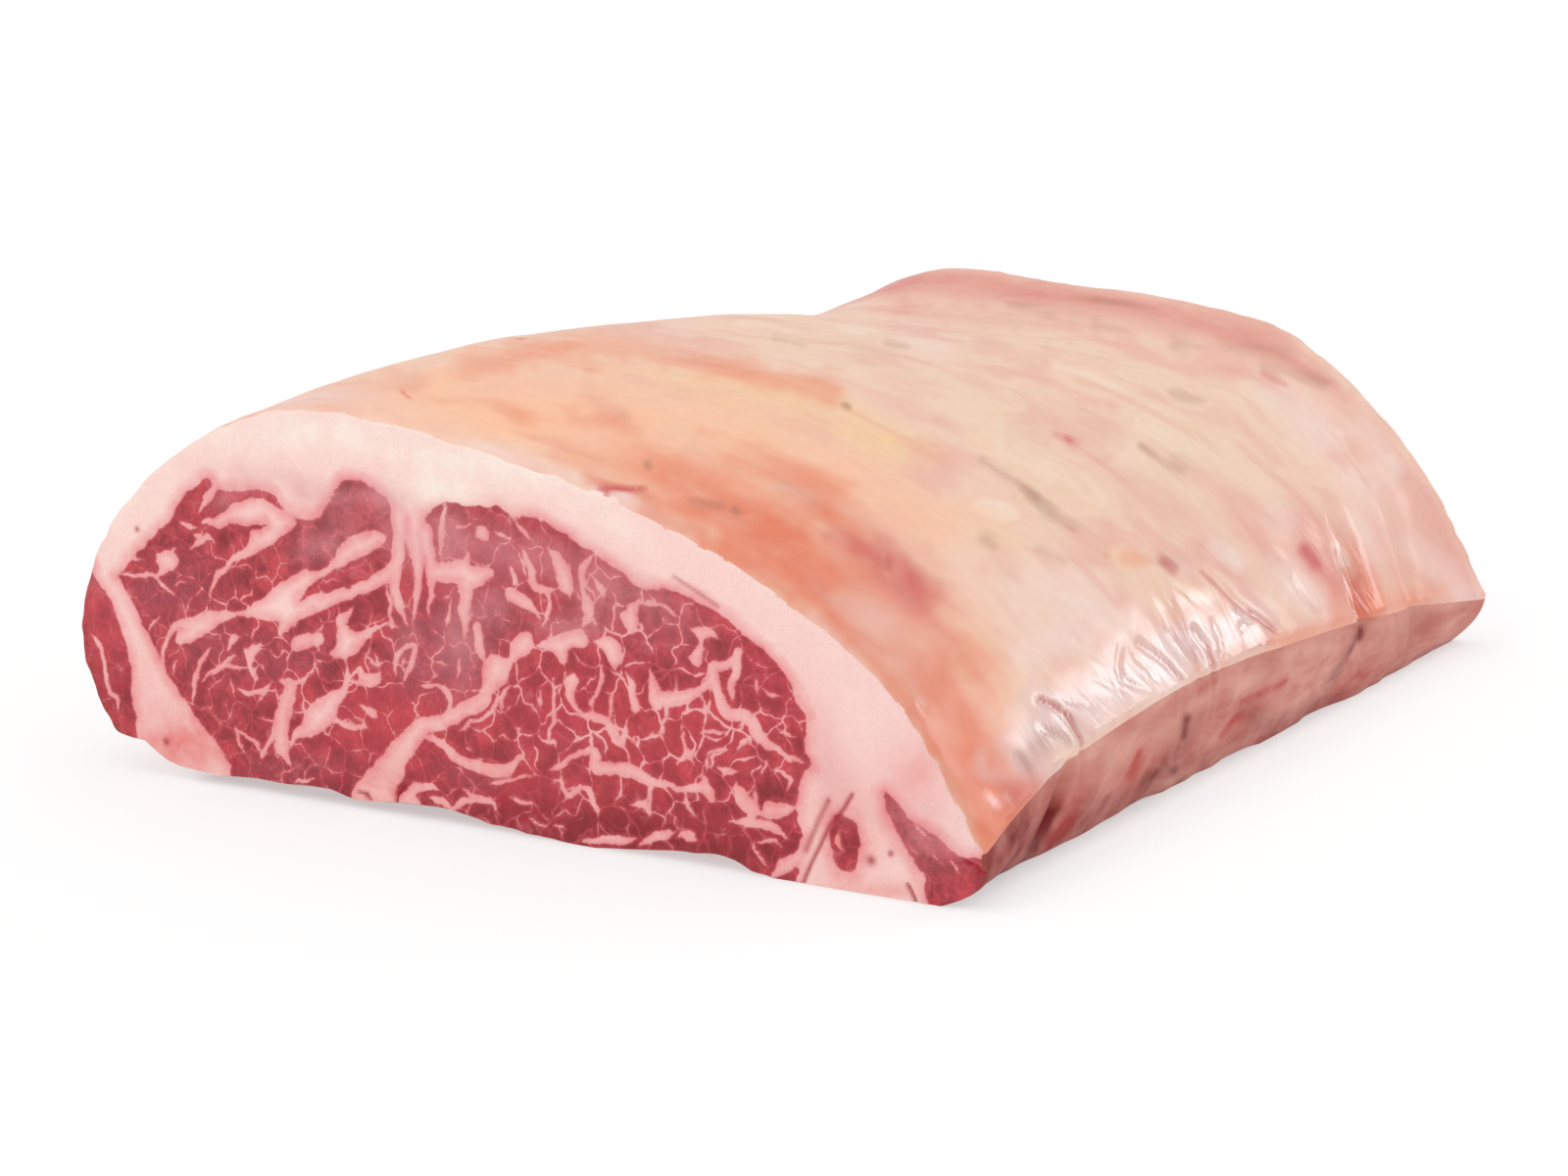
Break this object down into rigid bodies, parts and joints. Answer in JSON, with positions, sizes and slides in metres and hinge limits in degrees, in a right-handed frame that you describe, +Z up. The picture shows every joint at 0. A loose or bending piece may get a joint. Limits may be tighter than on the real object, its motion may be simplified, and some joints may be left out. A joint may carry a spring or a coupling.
{
  "type": "raw beef striploin",
  "caption": "Raw boneless beef striploin cut from a whole loin, lying with its fat cap up, with a marbled eye muscle and lean strips in the fat showing at both cuts.",
  "frame": {"origin": "middle of the base, on the surface that the meat lies on", "axes": "+Z up through the fat cap; +Y along the loin, away from the marbled cut; +X across it, from the thick chine side to the trimmed tail side"},
  "size_m": [0.2311, 0.282, 0.0921],
  "materials": {
    "fat": "raw beef fat, cream and peach on the outside with a moist sheen, paler pink where it is cut",
    "marbled_lean": "raw red beef with pink fat marbling, moist at the cuts",
    "lean": "raw red beef with fine marbling, under a thin mauve skin on the trimmed side"
  },
  "bodies": {
    "root": {"fat_cap": "fat", "eye_muscle": "marbled_lean", "side_muscle": "lean", "tail_muscle_inner": "lean", "tail_muscle_outer": "lean"}
  },
  "joints": []
}
